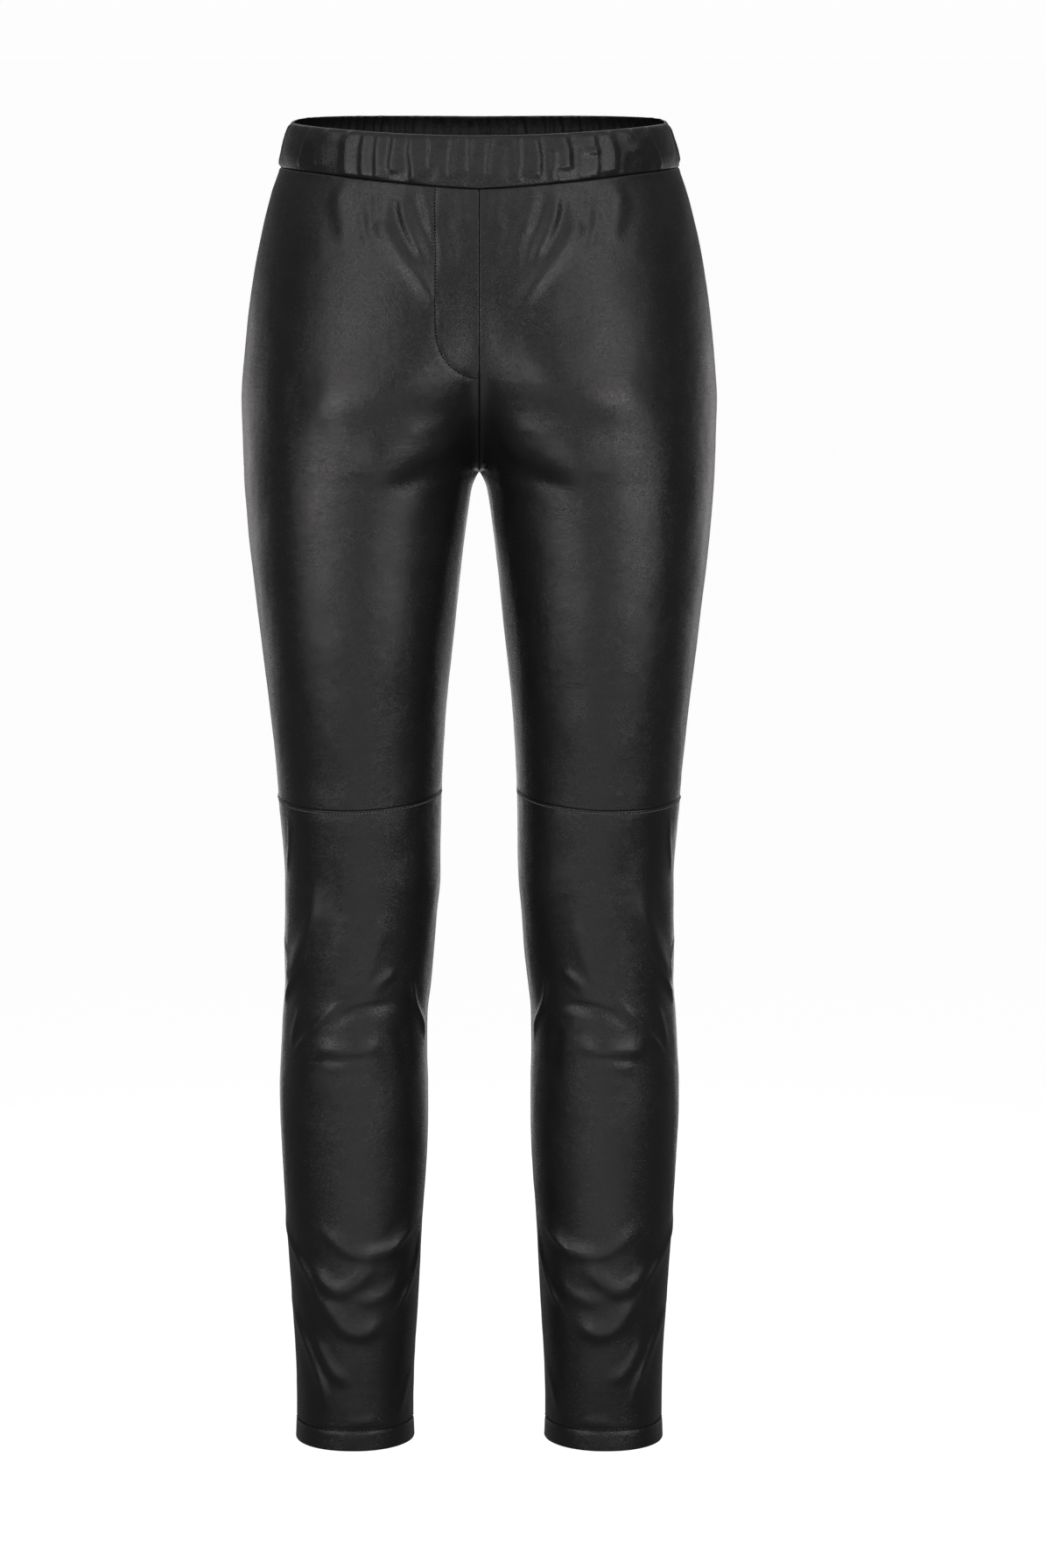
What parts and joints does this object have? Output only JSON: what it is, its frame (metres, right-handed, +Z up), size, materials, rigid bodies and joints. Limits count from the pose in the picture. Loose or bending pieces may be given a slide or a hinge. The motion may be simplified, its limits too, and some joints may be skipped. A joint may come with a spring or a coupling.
{
  "type": "faux leather leggings",
  "caption": "Pull-on faux leather leggings with a gathered elastic waistband, curved knee seams and turned-up hems, filled out as worn.",
  "frame": {"origin": "centre of the waistband ring, half way up the band, where the wearer's waist holds it", "axes": "+Z up from the hems to the waist, -Y the front, +X the wearer's left"},
  "size_m": [0.3454, 0.233, 0.9799],
  "materials": {
    "panels": "semi-matte black faux leather with a fine grain",
    "waistband": "semi-matte black faux leather, gathered on elastic",
    "thread": "black polyester sewing thread"
  },
  "bodies": {
    "root": {"waistband_front": "waistband", "waistband_back": "waistband", "front_thigh_left": "panels", "front_thigh_right": "panels", "front_shin_left": "panels", "front_shin_right": "panels", "back_leg_left": "panels", "back_leg_right": "panels"}
  },
  "joints": []
}
